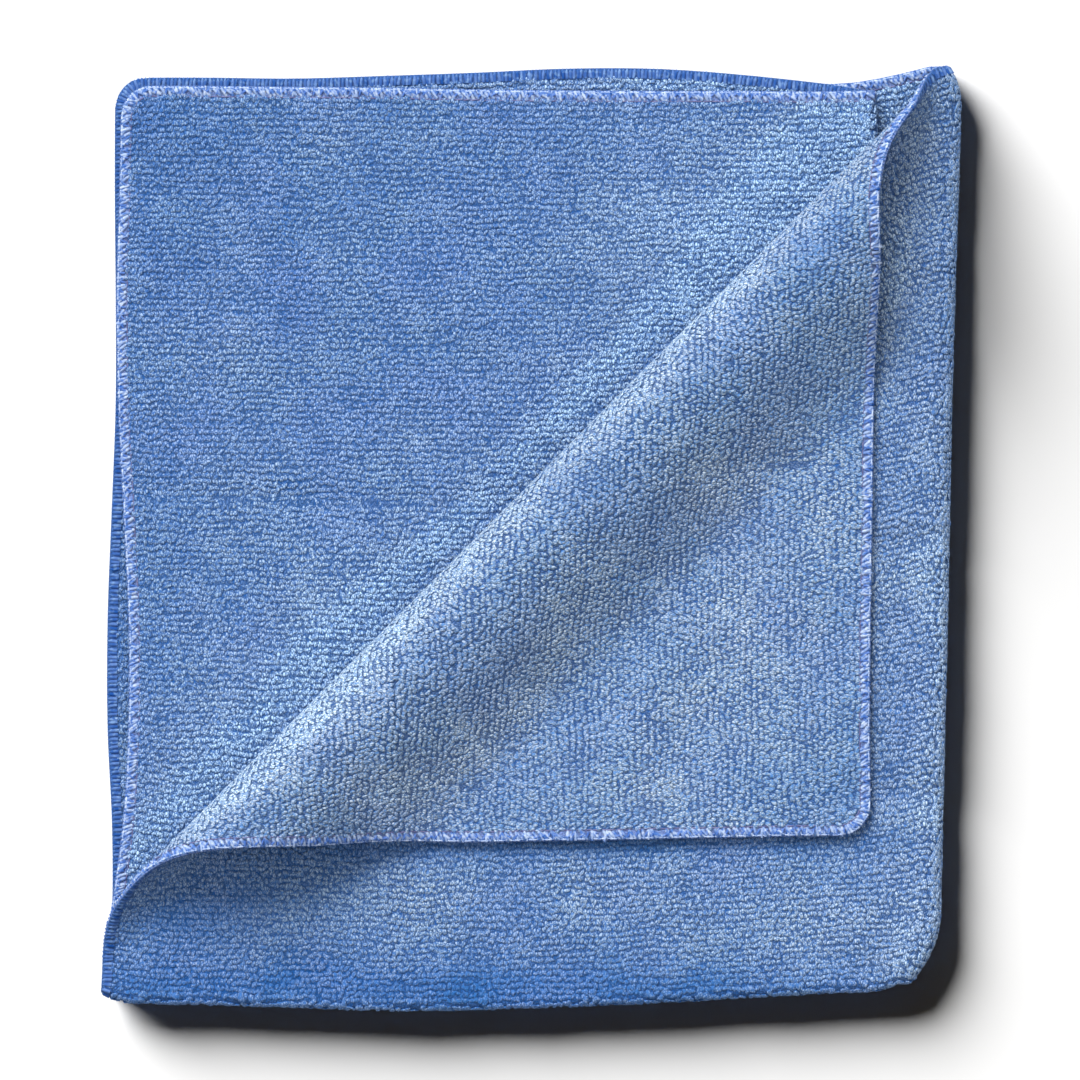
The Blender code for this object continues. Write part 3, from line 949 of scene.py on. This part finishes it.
@dataclass
class Sheet:
    """The ground of the terry and the cut, folded edge: one closed sheet."""

    folding: Folding
    fine_step: float = 2.8
    middle_step: float = 3.6
    coarse_step: float = 5.5
    fold_spans: int = 10
    hem_lines: tuple[float, ...] = (0.0, 0.15, 0.45, 0.9, 2.3, 3.0)
    ground_half: float = 0.56
    bare_half: float = 0.9
    hem_halves: tuple[float, ...] = (0.14, 0.32, 0.42, 0.46, 0.42, 0.42)
    hem_end: float = 2.3
    hem_rise: float = 0.7
    # Heights in degrees of the rays that look for each face, and how many go round at each
    look_up: tuple[tuple[float, int], ...] = ((28.0, 12), (42.0, 8), (62.0, 6), (88.0, 1))
    ray_start: float = 0.5
    ray_length: float = 400.0
    least_facing: float = 0.05

    def lines(self, arc: float, half: float, low_step: float, high_step: float) -> Grid:
        """Flat places of the grid lines: a layer, the fold and the other layer."""
        hem = half - np.array(self.hem_lines[::-1])

        def layer(step: float) -> Grid:
            """Lines of one layer, from the fold to the hem."""
            count = round((hem[0] - arc) / step)
            return np.concatenate((np.linspace(arc, hem[0], count + 1)[1:], hem[1:]))

        fold = np.linspace(-arc, arc, self.fold_spans + 1)
        return np.concatenate((-layer(low_step)[::-1], fold, layer(high_step)))

    def unrolled(self, across: Grid, along: Grid) -> tuple[Grid, Grid]:
        """Shift the grid's columns so that the fold's own lie on it at every radius."""
        fold = self.folding
        turn = np.clip(along / fold.end_arc, -1.0, 1.0) * math.pi / 2
        arc = (fold.right_fold_radius + fold.bottom_fold_radius * np.sin(turn)) * math.pi / 2
        past = (np.abs(across) - fold.side_arc) / (fold.half_width - fold.side_arc)
        over = np.sign(across) * (arc + past * (fold.half_width - arc))
        in_hem = fold.half_width - np.abs(across) <= self.hem_lines[-1] + 0.01
        moved = np.where(np.abs(across) <= fold.side_arc, across / fold.side_arc * arc, over)
        return np.where(in_hem, across, moved), along

    def rounded(self, across: Grid, along: Grid) -> tuple[Grid, Grid]:
        """Draw the grid's square corners in to the cut's rounded ones."""
        fold, radius = self.folding, self.folding.corner_radius
        over = 1.0 - (fold.half_width - np.abs(across)) / radius
        up = 1.0 - (fold.half_height - np.abs(along)) / radius
        inside = (over > 0.0) & (up > 0.0)
        new_over = over * np.sqrt(1.0 - np.clip(up, 0.0, 1.0) ** 2 / 2)
        new_up = up * np.sqrt(1.0 - np.clip(over, 0.0, 1.0) ** 2 / 2)
        round_across = fold.half_width - (1.0 - new_over) * radius
        round_along = fold.half_height - (1.0 - new_up) * radius
        return (
            np.where(inside, np.sign(across) * round_across, across),
            np.where(inside, np.sign(along) * round_along, along),
        )

    def build(self) -> Piece:
        """Build the sheet.

        Returns:
            The sheet's object, with its flat places and masks as attributes.
        """
        fold = self.folding
        self.columns = self.lines(fold.side_arc, fold.half_width, self.coarse_step, self.fine_step)
        self.rows = self.lines(fold.end_arc, fold.half_height, self.middle_step, self.fine_step)
        across, along = self.rounded(*self.unrolled(*np.meshgrid(self.columns, self.rows)))
        middle = fold.place(across, along)
        facing = fold.axes(across, along)[2]
        edge = fold.from_edge(across, along)
        self.shown = self.find_shown(middle, facing)
        places = []
        for face in Face:
            half = self.half_at(self.shown[face])
            hem = np.interp(edge, self.hem_lines, self.hem_halves)
            into = smooth_step((edge - self.hem_end) / self.hem_rise)
            half = hem + (half - hem) * into
            places.append(middle + facing * (face.value * half)[..., None])
        mesh = self.mesh(np.stack(places))
        self.write(mesh, "cloth", np.stack([np.stack((across, along, 0 * along), -1) * MM] * 2))
        self.write(mesh, "pile", np.stack([self.shown[face] for face in Face]))
        self.write(mesh, "from_edge", np.stack([edge] * 2))
        # Painted light and shade, and nap, at each place of each face
        light = [painted_light_and_nap(fold.parts(face, across, along), middle) for face in Face]
        self.write(mesh, "painted_light_and_nap", np.stack(light))
        self.write(mesh, "paled", np.stack([fold.paled(face, across, along) for face in Face]))
        pale = np.stack([np.ones_like(across), np.zeros_like(across)])
        self.write(mesh, "pale_side", pale)
        flat = np.stack([np.stack((across, along), -1)] * 2).reshape(-1, 2)
        corners = np.array([loop.vertex_index for loop in mesh.loops])
        layer = mesh.uv_layers.new(name="flat_cloth")
        layer.data.foreach_set("uv", (0.5 + flat[corners] / (2 * fold.half_height)).ravel())
        mesh.materials.append(TerryFinish().sheet("terry_ground"))
        return put_in_scene("cloth_sheet", mesh)

    def half_at(self, shown: Grid) -> Grid:
        """Give the ground's height over the middle: lower where loops stand on it."""
        return self.bare_half - (self.bare_half - self.ground_half) * shown

    def find_shown(self, middle: Grid, facing: Grid) -> dict[Face, Grid]:
        """Find where each face can be seen from above or from the side.

        Args:
            middle: Middle of the sheet at the grid's points.
            facing: Its normals there, towards the pale face.

        Returns:
            For each face, 1 where it shows and 0 where a layer hides it.
        """
        height, width = middle.shape[:2]
        count = height * width
        quads = grid_quads(height, width)
        tree = BVHTree.FromPolygons(middle.reshape(count, 3).tolist(), quads.tolist())
        rays = [
            Vector((
                math.cos(math.radians(up)) * math.cos(math.tau * index / around),
                math.cos(math.radians(up)) * math.sin(math.tau * index / around),
                math.sin(math.radians(up)),
            ))
            for up, around in self.look_up[::-1]
            for index in range(around)
        ]
        shown = {}
        for face in Face:
            normals = (facing * face.value).reshape(count, 3)
            starts = middle.reshape(count, 3) + normals * self.ray_start
            seen = np.zeros(count)
            for index in range(count):
                normal, start = Vector(normals[index]), Vector(starts[index])
                seen[index] = any(
                    normal.dot(ray) > self.least_facing
                    and tree.ray_cast(start, ray, self.ray_length)[0] is None
                    for ray in rays
                )
            shown[face] = seen.reshape(height, width)
        return shown

    def mesh(self, places: Grid) -> Mesh:
        """Join the two faces with a rim to one closed mesh.

        Args:
            places: The pale face's and the dark face's grid of places, in mm.

        Returns:
            The mesh.
        """
        height, width = places.shape[1:3]
        count = height * width
        quads = grid_quads(height, width)
        foot, head = np.arange(width), np.arange(width) + (height - 1) * width
        left, right = np.arange(height) * width, np.arange(height) * width + width - 1
        ring = np.concatenate((foot[:-1], right[:-1], head[:0:-1], left[:0:-1]))
        after = np.roll(ring, -1)
        rim = np.stack((ring, ring + count, after + count, after), -1)
        faces = np.concatenate((quads, quads[:, ::-1] + count, rim))
        mesh = bpy.data.meshes.new("cloth_sheet")
        mesh.from_pydata((places.reshape(-1, 3) * MM).tolist(), [], faces.tolist())
        mesh.polygons.foreach_set("use_smooth", [True] * len(mesh.polygons))
        mesh.update()
        return mesh

    def write(self, mesh: Mesh, name: str, values: Grid) -> None:
        """Store values of both faces as an attribute of the points."""
        vector = values.ndim == 4
        layer = mesh.attributes.new(name, "FLOAT_VECTOR" if vector else "FLOAT", "POINT")
        layer.data.foreach_set("vector" if vector else "value", values.astype(np.float32).ravel())

    def shows(self, face: Face, across: Grid, along: Grid) -> Grid:
        """Read where a face shows, at any flat place."""
        column = np.interp(across, self.columns, np.arange(len(self.columns)))
        row = np.interp(along, self.rows, np.arange(len(self.rows)))
        low_c = np.clip(column.astype(int), 0, len(self.columns) - 2)
        low_r = np.clip(row.astype(int), 0, len(self.rows) - 2)
        over, up = column - low_c, row - low_r
        grid = self.shown[face]
        low = grid[low_r, low_c] * (1 - over) + grid[low_r, low_c + 1] * over
        high = grid[low_r + 1, low_c] * (1 - over) + grid[low_r + 1, low_c + 1] * over
        return low * (1 - up) + high * up


@dataclass
class Pile:
    """The terry's loops, in rows across the cloth, wherever a face shows."""

    sheet: Sheet
    row_pitch: float = 1.41
    loop_pitch: float = 1.06
    loop_width: float = 1.20
    loop_length: float = 1.85
    loop_height: float = 0.28
    bend: float = 0.35
    flatness: float = 0.28
    taper: float = 0.09
    turn_spread: float = 0.90
    lean_spread: float = 0.12
    scatter: float = 0.20
    # A bend spreads the rows apart, so loops on it are larger, except on its underside
    fold_growth: float = 1.38
    fold_proud: float = 0.10
    fold_lowest: float = -0.45
    hem_clear: float = 2.35
    side_margin: float = 0.45
    end_margin: float = 0.55
    least_shown: float = 0.35
    row_wave: float = 0.20
    turn_wave: float = 0.42
    size_wave: float = 0.07
    size_spread: float = 0.10
    face_apart: float = 100.0
    most_loops: int = 9800
    seed: int = 5

    def tree(self) -> GeometryTree:
        """Build the tree that stands a bent, rounded loop on every point."""
        names = ("Width", "Length", "Height", "Bend", "Flatness", "Taper")
        sizes = dict.fromkeys(names, "NodeSocketFloat")
        tree = GeometryTree("terry_loops", sizes)
        ball = tree.add("GeometryNodeMeshIcoSphere", {"Radius": 1.0, "Subdivisions": 1})
        position = tree.add("GeometryNodeInputPosition").outputs[0]
        place = tree.add("ShaderNodeSeparateXYZ", {0: position})
        off_level = tree.maths("ABSOLUTE", place.outputs[2])
        steep = tree.maths("POWER", off_level, tree.inputs["Flatness"])
        level = tree.times(steep, tree.maths("SIGN", place.outputs[2]))
        narrow = tree.maths("SUBTRACT", 1.0, tree.times(level, tree.inputs["Taper"]))
        over = tree.times(place.outputs[0], narrow)
        onward = tree.times(place.outputs[1], narrow)
        pillow = {"Geometry": ball.outputs[0], "Position": tree.vector(over, onward, level)}
        pressed = tree.add("GeometryNodeSetPosition", pillow)
        up = tree.times(tree.maths("ADD", place.outputs[2], 1.0), 0.5)
        stored = {"Geometry": pressed.outputs[0], "Name": "rise", "Value": up}
        marked = tree.add("GeometryNodeStoreNamedAttribute", stored, data_type="FLOAT")
        bowed = tree.times(place.outputs[1], place.outputs[1])
        bowed = tree.maths("SUBTRACT", 0.4, bowed)
        shapes = tree.add("GeometryNodeJoinGeometry")
        size = tree.vector(*(
            tree.times(tree.inputs[name], 0.5) for name in ("Width", "Length", "Height")
        ))
        for way in (1.0, 0.0, -1.0):
            bend = tree.times(tree.inputs["Bend"], way * 2.0)
            shift = tree.times(bowed, bend)
            bent = {"Geometry": marked.outputs[0], "Offset": tree.vector(shift, 0.0, 0.0)}
            moved = tree.add("GeometryNodeSetPosition", bent)
            sized = {"Geometry": moved.outputs[0], "Scale": size}
            scaled = tree.add("GeometryNodeTransform", sized)
            copy = tree.add("GeometryNodeGeometryToInstance", {0: scaled.outputs[0]})
            tree.tree.links.new(copy.outputs[0], shapes.inputs[0])
        inputs = {
            "Points": tree.inputs["Geometry"],
            "Instance": shapes.outputs[0],
            "Pick Instance": True,
            "Instance Index": tree.named("shape", "INT"),
            "Rotation": tree.standing(),
            "Scale": tree.named("size", "FLOAT_VECTOR"),
        }
        tree.close(tree.add("GeometryNodeInstanceOnPoints", inputs).outputs[0])
        return tree

    def stand(self, face: Face, draw: np.random.Generator) -> dict[str, Grid]:
        """Set out the loops of one face.

        Args:
            face: The face.
            draw: Source of the loops' unevenness.

        Returns:
            The points' places and attributes.
        """
        fold = self.sheet.folding
        wide = fold.half_width - self.hem_clear - self.side_margin
        tall = fold.half_height - self.hem_clear - self.end_margin
        across = np.linspace(-wide, wide, round(2 * wide / self.loop_pitch))
        along = np.linspace(-tall, tall, round(2 * tall / self.row_pitch))
        across, along = np.meshgrid(across, along)
        odd_rows = np.where(np.arange(across.shape[0]) % 2, self.loop_pitch / 2, 0.0)
        across = across + odd_rows[:, None]
        across = across + draw.normal(0.0, self.scatter, across.shape)
        along = along + draw.normal(0.0, self.scatter, along.shape)
        across, along = across.ravel(), along.ravel()
        along = along + self.row_wave * SoftNoise(31, 15.0).at(across, along)
        keep = fold.from_edge(across, along) > self.hem_clear
        shown = self.sheet.shows(face, across, along)
        keep &= shown > self.least_shown
        across, along, shown = across[keep], along[keep], shown[keep]
        count = len(across)
        over, _, out = fold.axes(across, along)
        out = out * face.value
        places = fold.place(across, along)
        # Painted light and shade, and nap, at each loop
        light = painted_light_and_nap(fold.parts(face, across, along), places)
        on_fold = (np.abs(across) < fold.side_arc) | (np.abs(along) < fold.end_arc)
        on_fold &= out[:, 2] > self.fold_lowest
        proud = np.where(on_fold, self.fold_proud, 0.0)
        places = places + out * (self.sheet.half_at(shown) + proud)[:, None]
        field_turn = self.turn_wave * SoftNoise(32, 9.0).at(across, along)
        plump = 1.0 + self.size_wave * SoftNoise(33, 12.0).at(across, along)
        plump = plump * np.where(on_fold, self.fold_growth, 1.0)
        size = plump[:, None] * draw.normal(1.0, self.size_spread, (count, 3))
        apart = np.full(count, self.face_apart * face.value)
        return {
            "places": places * MM,
            "facing": out,
            "line": over,
            "turn": field_turn + draw.normal(0.0, self.turn_spread, count),
            "lean": draw.normal(0.0, self.lean_spread, count),
            "size": size,
            "tint": draw.uniform(0.0, 1.0, count),
            "painted_light_and_nap": light,
            "paled": fold.paled(face, across, along),
            "shape": draw.integers(0, 3, count),
            "cloth": np.stack((across, along, apart), -1) * MM,
            "layer": np.where(across > 0.0, 2, 0) + np.where(along > 0.0, 1, 0),
        }

    def build(self) -> list[Piece]:
        """Build the loops, in pieces of a size that keeps each mesh light.

        Returns:
            The pieces.
        """
        draw = np.random.default_rng(self.seed)
        tree, finish = self.tree(), TerryFinish().loops("terry_loops")
        values = {
            "Width": self.loop_width * MM,
            "Length": self.loop_length * MM,
            "Height": self.loop_height * MM,
            "Bend": self.bend,
            "Flatness": self.flatness,
            "Taper": self.taper,
            "Material": finish,
        }
        pieces = []
        for face in Face:
            points = self.stand(face, draw)
            order = np.argsort(points.pop("layer"), kind="stable")
            parts = math.ceil(len(order) / self.most_loops)
            for index, chosen in enumerate(np.array_split(order, parts)):
                name = f"loops_{face.name.lower()}_face_{index + 1}"
                part = {key: value[chosen] for key, value in points.items()}
                cloud = point_cloud(name, part.pop("places"), part)
                pieces.append(tree.run(name, cloud, values))
        return pieces


@dataclass(frozen=True)
class Thread:
    """One kind of thread in the hem, as a curve in the stitch's own frame.

    In that frame x runs along the hem, y out of the cloth and z out of its pale face, from the
    middle of the cut edge. The path is the curve's start, its two pulls and its end.
    """

    name: str
    path: tuple[tuple[float, float, float], ...]
    radius: float
    spans: int
    every: float
    finish: ThreadFinish
    sides: int = 4
    sway: float = 0.08


PALE_THREAD = ThreadFinish(
    (0.095, 0.175, 0.410), (0.300, 0.390, 0.570), (0.56, 0.63, 0.74), (0.04, 0.12, 0.38), 0.5, 0.9
)
DARK_THREAD = ThreadFinish(
    (0.004, 0.052, 0.235), (0.085, 0.165, 0.385), (0.26, 0.42, 0.60), (0.01, 0.06, 0.26), 0.3, 0.3
)
DASH_THREAD = ThreadFinish(
    (0.020, 0.090, 0.350), (0.110, 0.190, 0.460), (0.30, 0.42, 0.66), (0.01, 0.06, 0.26), 0.3, 0.3
)
# A real thread round the rim, coloured pale as the painted highlight along the hem's outer edge
RIM_HIGHLIGHT_THREAD = ThreadFinish(
    (0.220, 0.310, 0.540), (0.400, 0.490, 0.680), (0.66, 0.74, 0.86), (0.10, 0.20, 0.48), 0.5, 0.6
)
NEEDLE_THREAD = ThreadFinish(
    (0.085, 0.090, 0.220), (0.180, 0.180, 0.330), (0.4, 0.4, 0.6), (0.05, 0.06, 0.18), 0.2, 0.3
)

THREADS = (
    Thread(
        "hem_ribs",
        ((0.0, -2.2, -0.42), (0.0, 0.0, -0.85), (0.0, 0.05, 0.78), (0.0, -0.8, 0.36)),
        0.5, 4, 0.95, DARK_THREAD,
    ),
    Thread(
        "hem_lacing",
        ((-0.5, -0.45, 0.36), (-0.2, -0.9, 0.70), (0.2, -1.6, 0.66), (0.5, -2.15, 0.40)),
        0.44, 3, 0.95, PALE_THREAD, sway=0.28,
    ),
    Thread(
        "hem_dashes",
        ((0.30, -0.75, 0.62), (0.15, -1.0, 0.86), (-0.1, -1.4, 0.86), (-0.2, -1.75, 0.62)),
        0.30, 2, 1.9, DASH_THREAD, sway=0.35,
    ),
    Thread(
        "hem_needle_line",
        ((-0.8, -2.4, 0.50), (-0.3, -2.4, 0.66), (0.3, -2.4, 0.66), (0.8, -2.4, 0.50)),
        0.13, 2, 1.9, NEEDLE_THREAD,
    ),
    Thread(
        "hem_rim_highlight_thread",
        ((-1.4, -0.45, 0.44), (-0.5, -0.35, 0.64), (0.5, -0.35, 0.64), (1.4, -0.45, 0.44)),
        0.24, 3, 3.8, RIM_HIGHLIGHT_THREAD, sway=0.04,
    ),
)
PATH_INPUTS = ("Start", "Start pull", "End pull", "End")


@dataclass
class Hem:
    """The overlock stitching round the whole cut edge."""

    folding: Folding
    seed: int = 9
    corner_steps: int = 24
    look_ahead: float = 0.05
    inward: float = 0.6
    onward: float = 0.3
    # Close stitches alternate between two tones, wider ones keep one
    close_pitch: float = 0.96
    close_tint: float = 0.75
    wide_tint: float = 0.4

    def outline(self, step: float) -> tuple[Grid, Grid, Grid]:
        """Walk round the flat cloth's rounded outline.

        Args:
            step: Wanted distance from stitch to stitch.

        Returns:
            The flat places, and the way out of the cloth and along the hem at each.
        """
        fold, radius = self.folding, self.folding.corner_radius
        wide, tall = fold.half_width - radius, fold.half_height - radius
        legs = []
        middles = ((wide, tall), (-wide, tall), (-wide, -tall), (wide, -tall))
        for quarter, (x, y) in enumerate(middles):
            turn = np.linspace(0.0, math.pi / 2, self.corner_steps) + quarter * math.pi / 2
            legs.append(np.stack((x + radius * np.cos(turn), y + radius * np.sin(turn)), -1))
        ring = np.concatenate(legs + [legs[0][:1]])
        run = np.concatenate(([0.0], np.cumsum(np.linalg.norm(np.diff(ring, axis=0), axis=1))))
        count = round(run[-1] / step)
        at = np.arange(count) * run[-1] / count
        flat, ahead = (
            np.stack([np.interp(at + step_on, run, ring[:, axis]) for axis in (0, 1)], -1)
            for step_on in (0.0, self.look_ahead)
        )
        onward = unit(ahead - flat)
        outward = np.stack((onward[:, 1], -onward[:, 0]), -1)
        return flat, outward, onward

    def build(self) -> list[Piece]:
        """Build every kind of thread.

        Returns:
            One piece for each kind.
        """
        tree = self.tree()
        draw = np.random.default_rng(self.seed)
        pieces = []
        for thread in THREADS:
            flat, outward, onward = self.outline(thread.every)
            count = len(flat)
            edge = self.folding.place(*flat.T)
            inside = self.folding.place(*(flat - self.inward * outward).T)
            before = self.folding.place(*(flat - self.onward * onward).T)
            after = self.folding.place(*(flat + self.onward * onward).T)
            out, line = unit(edge - inside), unit(before - after)
            facing = unit(np.cross(line, out))
            close = thread.every < self.close_pitch
            tone = np.arange(count) % 2 * self.close_tint if close else self.wide_tint
            points = {
                "facing": facing,
                "line": line,
                "turn": draw.normal(0.0, thread.sway, count),
                "lean": draw.normal(0.0, thread.sway / 2, count),
                "tint": np.clip(tone + draw.normal(0.1, 0.12, count), 0.0, 1.0),
            }
            cloud = point_cloud(thread.name, edge * MM, points)
            values = {
                **{name: Vector(point) * MM for name, point in zip(PATH_INPUTS, thread.path)},
                "Thread radius": thread.radius * MM,
                "Spans": thread.spans,
                "Sides": thread.sides,
                "Material": thread.finish.build(thread.name),
            }
            pieces.append(tree.run(thread.name, cloud, values))
        return pieces

    def tree(self) -> GeometryTree:
        """Build the tree that lays one curved thread at every point."""
        sizes = dict.fromkeys(PATH_INPUTS, "NodeSocketVector")
        sizes |= {"Thread radius": "NodeSocketFloat"}
        sizes |= dict.fromkeys(("Spans", "Sides"), "NodeSocketInt")
        tree = GeometryTree("hem_thread", sizes)
        path = {
            "Resolution": tree.inputs["Spans"],
            "Start": tree.inputs["Start"],
            "Start Handle": tree.inputs["Start pull"],
            "End Handle": tree.inputs["End pull"],
            "End": tree.inputs["End"],
        }
        curve = tree.add("GeometryNodeCurvePrimitiveBezierSegment", path, mode="POSITION")
        ring = {"Resolution": tree.inputs["Sides"], "Radius": tree.inputs["Thread radius"]}
        profile = tree.add("GeometryNodeCurvePrimitiveCircle", ring, mode="RADIUS")
        tube = {"Curve": curve.outputs[0], "Profile Curve": profile.outputs[0], "Fill Caps": True}
        mesh = tree.add("GeometryNodeCurveToMesh", tube)
        inputs = {
            "Points": tree.inputs["Geometry"],
            "Instance": mesh.outputs[0],
            "Rotation": tree.standing(),
        }
        tree.close(tree.add("GeometryNodeInstanceOnPoints", inputs).outputs[0])
        return tree


@dataclass
class Studio:
    """The plain pale floor, the soft lights and the camera straight above."""

    view_width: float = 0.24138
    view_middle: tuple[float, float] = (0.00194, -0.00034)
    lens: float = 1000.0
    sensor: float = 36.0
    floor_half: float = 9.0
    floor_key: float = 8.9
    cloth_key: float = 4.2
    dome: float = 2.95
    # Heading, height and spread of each light, in degrees
    floor_light: tuple[float, float, float] = (132.5, 26.5, 37.0)
    cloth_light: tuple[float, float, float] = (112.0, 42.0, 32.0)
    dome_light: tuple[float, float, float] = (112.0, 72.0, 150.0)
    room: float = 0.02
    room_colour: Colour = (1.0, 0.8, 0.5)
    floor_greys: tuple[float, float] = (0.86, 0.88)

    def build(self, cloth: list[Piece]) -> None:
        """Build the floor, lights, room and camera.

        Args:
            cloth: The cloth's pieces, which have a softer light of their own.
        """
        floor = self.floor()
        groups = {}
        for name, things in (("lit_floor", [floor]), ("lit_cloth", cloth)):
            groups[name] = bpy.data.collections.new(name)
            for thing in things:
                groups[name].objects.link(thing)
        lights = (
            ("key_on_floor", self.floor_key, self.floor_light, "lit_floor"),
            ("key_on_cloth", self.cloth_key, self.cloth_light, "lit_cloth"),
            ("soft_box_above", self.dome, self.dome_light, "lit_cloth"),
        )
        for name, strength, (heading, height, spread), group in lights:
            self.sun(name, self.aim(heading, height), strength, spread, groups[group])
        self.world()
        self.camera()
        bpy.context.scene.view_settings.view_transform = "Standard"

    def aim(self, heading: float, height: float) -> Vector:
        """Direction towards a light, from its heading and its height in degrees."""
        turn, up = math.radians(heading), math.radians(height)
        return Vector((math.cos(turn) * math.cos(up), math.sin(turn) * math.cos(up), math.sin(up)))

    def sun(
        self, name: str, towards: Vector, strength: float, spread: float, lit: bpy.types.Collection
    ) -> None:
        """Add one soft distant light for a group of objects."""
        light = bpy.data.lights.new(name, "SUN")
        light.energy, light.angle = strength, math.radians(spread)
        lamp = put_in_scene(name, light)
        lamp.rotation_euler = towards.to_track_quat("Z", "Y").to_euler()
        lamp.light_linking.receiver_collection = lit

    def floor(self) -> Piece:
        """Add the floor under the cloth."""
        half = self.floor_half
        corners = [(-half, -half, 0), (half, -half, 0), (half, half, 0), (-half, half, 0)]
        mesh = bpy.data.meshes.new("floor")
        mesh.from_pydata(corners, [], [(0, 1, 2, 3)])
        paint = Paint("pale_floor")
        place = paint.add("ShaderNodeTexCoord").outputs["Object"]
        grain = paint.blend(paint.noise(place, 40.0), *((grey,) * 3 for grey in self.floor_greys))
        mesh.materials.append(paint.finish(grain, 0.9, 0.0, 0.5, (1.0, 1.0, 1.0)))
        floor = put_in_scene("floor", mesh)
        return floor

    def world(self) -> None:
        """Set the dim even light of the room."""
        world = bpy.data.worlds.new("room")
        world.use_nodes = True
        room = world.node_tree.nodes["Background"]
        room.inputs["Color"].default_value = (*self.room_colour, 1.0)
        room.inputs["Strength"].default_value = self.room
        bpy.context.scene.world = world

    def camera(self) -> None:
        """Set the camera straight above, far off, so that it sees the cloth without slant."""
        data = bpy.data.cameras.new("camera")
        data.lens, data.sensor_width = self.lens, self.sensor
        away = self.view_width * self.lens / self.sensor
        data.clip_start, data.clip_end = away * 0.01, away * 10.0
        camera = put_in_scene("camera", data)
        camera.location = (*self.view_middle, away)
        bpy.context.scene.camera = camera


def main() -> None:
    """Build the sheet, its loops and its hem, then the studio round them."""
    logging.basicConfig(level=logging.INFO, format="%(message)s")
    folding = Folding()
    sheet = Sheet(folding)
    cloth = ride(sheet.build())
    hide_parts(NODE)
    loops = [ride(piece) for piece in Pile(sheet).build()]
    threads = [ride(piece) for piece in Hem(folding).build()]
    Studio().build([cloth, *loops, *threads])


if __name__ == "__main__":
    main()
